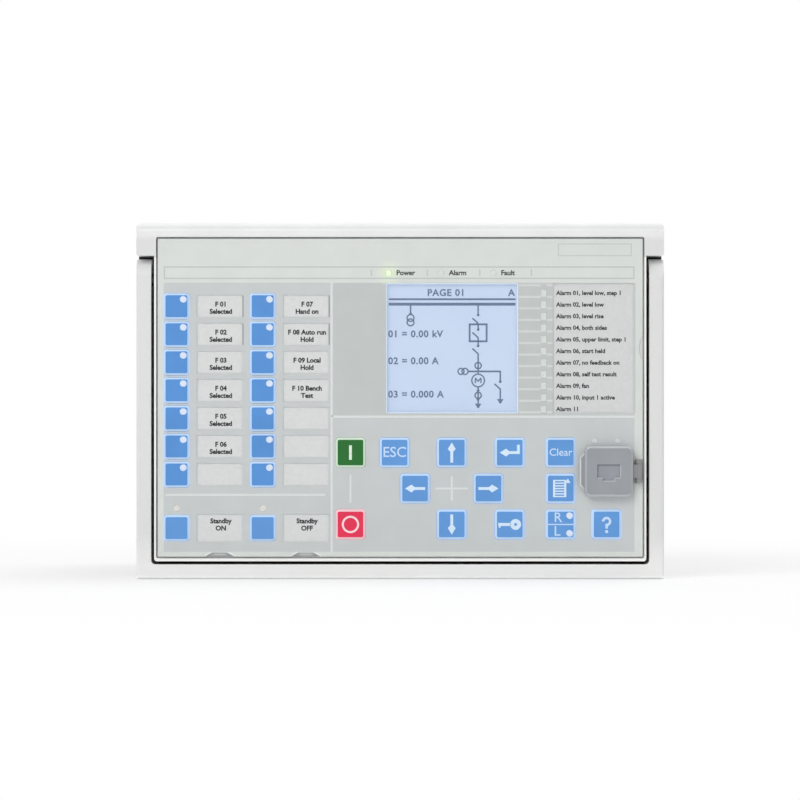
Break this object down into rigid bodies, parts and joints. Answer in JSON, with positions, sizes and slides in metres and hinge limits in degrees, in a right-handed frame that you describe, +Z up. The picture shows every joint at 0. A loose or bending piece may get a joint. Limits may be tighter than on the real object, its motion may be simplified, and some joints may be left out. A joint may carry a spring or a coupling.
{
  "type": "protection relay",
  "caption": "Flush-mounting protection relay: a withdrawable unit with display, keys, lamps and pull handle in a sheet-metal case with rear terminals.",
  "frame": {"origin": "centre of the panel cut-out, in the plane of the panel seat", "axes": "+X to the right as seen from the front, +Y to the rear, +Z up; the front faces -Y"},
  "size_m": [0.2622, 0.201, 0.177],
  "materials": {
    "case_sheet": "matte",
    "white_frame": "satin",
    "gasket": "matte",
    "dark_plastic": "satin",
    "circuit_board": "satin",
    "terminal_plastic": "matte",
    "plated_steel": "satin",
    "brass_stud": "satin",
    "core_steel": "matte",
    "panel_plastic": "satin",
    "film_print": "satin",
    "clear_window": "glossy",
    "display_face": "satin",
    "clear_lens": "glossy",
    "label_paper": "matte",
    "chassis_sheet": "satin",
    "cover_rubber": "matte",
    "key_blue": "satin",
    "key_green": "satin",
    "key_red": "satin"
  },
  "bodies": {
    "case": {"case_tray": "case_sheet", "case_cover": "case_sheet", "rear_panel": "case_sheet", "mounting_frame": "white_frame", "panel_gasket": "gasket", "guide_rails": "dark_plastic", "backplane_board": "circuit_board", "backplane_sockets": "dark_plastic", "terminal_blocks": "terminal_plastic", "terminal_screws": "plated_steel", "lan_sockets": "plated_steel", "current_transformers": "core_steel", "earth_stud": "brass_stud", "case_screws": "plated_steel"},
    "withdrawable_unit": {"front_frame": "white_frame", "front_panel": "panel_plastic", "front_film": "film_print", "display_window": "clear_window", "display_module": "display_face", "keypad_board": "circuit_board", "key_light_pipes": "clear_lens", "indicator_lenses": "clear_lens", "label_strips": "label_paper", "service_port": "dark_plastic", "unit_chassis": "chassis_sheet", "processor_board": "circuit_board", "supply_board": "circuit_board", "output_board": "circuit_board", "handle_pins": "plated_steel"},
    "pull_handle": {"pull_handle": "white_frame"},
    "port_cover": {"port_cover": "cover_rubber"},
    "function_key_1": {"function_key_1": "key_blue"},
    "function_key_2": {"function_key_2": "key_blue"},
    "function_key_3": {"function_key_3": "key_blue"},
    "function_key_4": {"function_key_4": "key_blue"},
    "function_key_5": {"function_key_5": "key_blue"},
    "function_key_6": {"function_key_6": "key_blue"},
    "function_key_7": {"function_key_7": "key_blue"},
    "function_key_8": {"function_key_8": "key_blue"},
    "function_key_9": {"function_key_9": "key_blue"},
    "function_key_10": {"function_key_10": "key_blue"},
    "function_key_11": {"function_key_11": "key_blue"},
    "function_key_12": {"function_key_12": "key_blue"},
    "function_key_13": {"function_key_13": "key_blue"},
    "function_key_14": {"function_key_14": "key_blue"},
    "function_key_15": {"function_key_15": "key_blue"},
    "function_key_16": {"function_key_16": "key_blue"},
    "close_key": {"close_key": "key_green"},
    "open_key": {"open_key": "key_red"},
    "escape_key": {"escape_key": "key_blue"},
    "up_key": {"up_key": "key_blue"},
    "left_key": {"left_key": "key_blue"},
    "right_key": {"right_key": "key_blue"},
    "down_key": {"down_key": "key_blue"},
    "enter_key": {"enter_key": "key_blue"},
    "login_key": {"login_key": "key_blue"},
    "clear_key": {"clear_key": "key_blue"},
    "menu_key": {"menu_key": "key_blue"},
    "remote_local_key": {"remote_local_key": "key_blue"},
    "help_key": {"help_key": "key_blue"}
  },
  "joints": [
    {"name": "unit_slide", "type": "slide", "parent": "case", "child": "withdrawable_unit", "axis": [0, -1, 0], "range_m": [0, 0.16]},
    {"name": "handle_hinge", "type": "hinge", "parent": "withdrawable_unit", "child": "pull_handle", "pos_m": [0, -0.03285, 0.06025], "axis": [-1, 0, 0], "range_deg": [0, 90]},
    {"name": "cover_hinge", "type": "hinge", "parent": "withdrawable_unit", "child": "port_cover", "pos_m": [0.1186, -0.045, -0.035], "axis": [0, 0, 1], "range_deg": [0, 140]},
    {"name": "function_key_1_press", "type": "slide", "parent": "withdrawable_unit", "child": "function_key_1", "axis": [0, 1, 0], "range_m": [0, 0.0004], "stiffness_N_per_m": 1500},
    {"name": "function_key_2_press", "type": "slide", "parent": "withdrawable_unit", "child": "function_key_2", "axis": [0, 1, 0], "range_m": [0, 0.0004], "stiffness_N_per_m": 1500},
    {"name": "function_key_3_press", "type": "slide", "parent": "withdrawable_unit", "child": "function_key_3", "axis": [0, 1, 0], "range_m": [0, 0.0004], "stiffness_N_per_m": 1500},
    {"name": "function_key_4_press", "type": "slide", "parent": "withdrawable_unit", "child": "function_key_4", "axis": [0, 1, 0], "range_m": [0, 0.0004], "stiffness_N_per_m": 1500},
    {"name": "function_key_5_press", "type": "slide", "parent": "withdrawable_unit", "child": "function_key_5", "axis": [0, 1, 0], "range_m": [0, 0.0004], "stiffness_N_per_m": 1500},
    {"name": "function_key_6_press", "type": "slide", "parent": "withdrawable_unit", "child": "function_key_6", "axis": [0, 1, 0], "range_m": [0, 0.0004], "stiffness_N_per_m": 1500},
    {"name": "function_key_7_press", "type": "slide", "parent": "withdrawable_unit", "child": "function_key_7", "axis": [0, 1, 0], "range_m": [0, 0.0004], "stiffness_N_per_m": 1500},
    {"name": "function_key_8_press", "type": "slide", "parent": "withdrawable_unit", "child": "function_key_8", "axis": [0, 1, 0], "range_m": [0, 0.0004], "stiffness_N_per_m": 1500},
    {"name": "function_key_9_press", "type": "slide", "parent": "withdrawable_unit", "child": "function_key_9", "axis": [0, 1, 0], "range_m": [0, 0.0004], "stiffness_N_per_m": 1500},
    {"name": "function_key_10_press", "type": "slide", "parent": "withdrawable_unit", "child": "function_key_10", "axis": [0, 1, 0], "range_m": [0, 0.0004], "stiffness_N_per_m": 1500},
    {"name": "function_key_11_press", "type": "slide", "parent": "withdrawable_unit", "child": "function_key_11", "axis": [0, 1, 0], "range_m": [0, 0.0004], "stiffness_N_per_m": 1500},
    {"name": "function_key_12_press", "type": "slide", "parent": "withdrawable_unit", "child": "function_key_12", "axis": [0, 1, 0], "range_m": [0, 0.0004], "stiffness_N_per_m": 1500},
    {"name": "function_key_13_press", "type": "slide", "parent": "withdrawable_unit", "child": "function_key_13", "axis": [0, 1, 0], "range_m": [0, 0.0004], "stiffness_N_per_m": 1500},
    {"name": "function_key_14_press", "type": "slide", "parent": "withdrawable_unit", "child": "function_key_14", "axis": [0, 1, 0], "range_m": [0, 0.0004], "stiffness_N_per_m": 1500},
    {"name": "function_key_15_press", "type": "slide", "parent": "withdrawable_unit", "child": "function_key_15", "axis": [0, 1, 0], "range_m": [0, 0.0004], "stiffness_N_per_m": 1500},
    {"name": "function_key_16_press", "type": "slide", "parent": "withdrawable_unit", "child": "function_key_16", "axis": [0, 1, 0], "range_m": [0, 0.0004], "stiffness_N_per_m": 1500},
    {"name": "close_key_press", "type": "slide", "parent": "withdrawable_unit", "child": "close_key", "axis": [0, 1, 0], "range_m": [0, 0.0004], "stiffness_N_per_m": 1500},
    {"name": "open_key_press", "type": "slide", "parent": "withdrawable_unit", "child": "open_key", "axis": [0, 1, 0], "range_m": [0, 0.0004], "stiffness_N_per_m": 1500},
    {"name": "escape_key_press", "type": "slide", "parent": "withdrawable_unit", "child": "escape_key", "axis": [0, 1, 0], "range_m": [0, 0.0004], "stiffness_N_per_m": 1500},
    {"name": "up_key_press", "type": "slide", "parent": "withdrawable_unit", "child": "up_key", "axis": [0, 1, 0], "range_m": [0, 0.0004], "stiffness_N_per_m": 1500},
    {"name": "left_key_press", "type": "slide", "parent": "withdrawable_unit", "child": "left_key", "axis": [0, 1, 0], "range_m": [0, 0.0004], "stiffness_N_per_m": 1500},
    {"name": "right_key_press", "type": "slide", "parent": "withdrawable_unit", "child": "right_key", "axis": [0, 1, 0], "range_m": [0, 0.0004], "stiffness_N_per_m": 1500},
    {"name": "down_key_press", "type": "slide", "parent": "withdrawable_unit", "child": "down_key", "axis": [0, 1, 0], "range_m": [0, 0.0004], "stiffness_N_per_m": 1500},
    {"name": "enter_key_press", "type": "slide", "parent": "withdrawable_unit", "child": "enter_key", "axis": [0, 1, 0], "range_m": [0, 0.0004], "stiffness_N_per_m": 1500},
    {"name": "login_key_press", "type": "slide", "parent": "withdrawable_unit", "child": "login_key", "axis": [0, 1, 0], "range_m": [0, 0.0004], "stiffness_N_per_m": 1500},
    {"name": "clear_key_press", "type": "slide", "parent": "withdrawable_unit", "child": "clear_key", "axis": [0, 1, 0], "range_m": [0, 0.0004], "stiffness_N_per_m": 1500},
    {"name": "menu_key_press", "type": "slide", "parent": "withdrawable_unit", "child": "menu_key", "axis": [0, 1, 0], "range_m": [0, 0.0004], "stiffness_N_per_m": 1500},
    {"name": "remote_local_key_press", "type": "slide", "parent": "withdrawable_unit", "child": "remote_local_key", "axis": [0, 1, 0], "range_m": [0, 0.0004], "stiffness_N_per_m": 1500},
    {"name": "help_key_press", "type": "slide", "parent": "withdrawable_unit", "child": "help_key", "axis": [0, 1, 0], "range_m": [0, 0.0004], "stiffness_N_per_m": 1500}
  ]
}
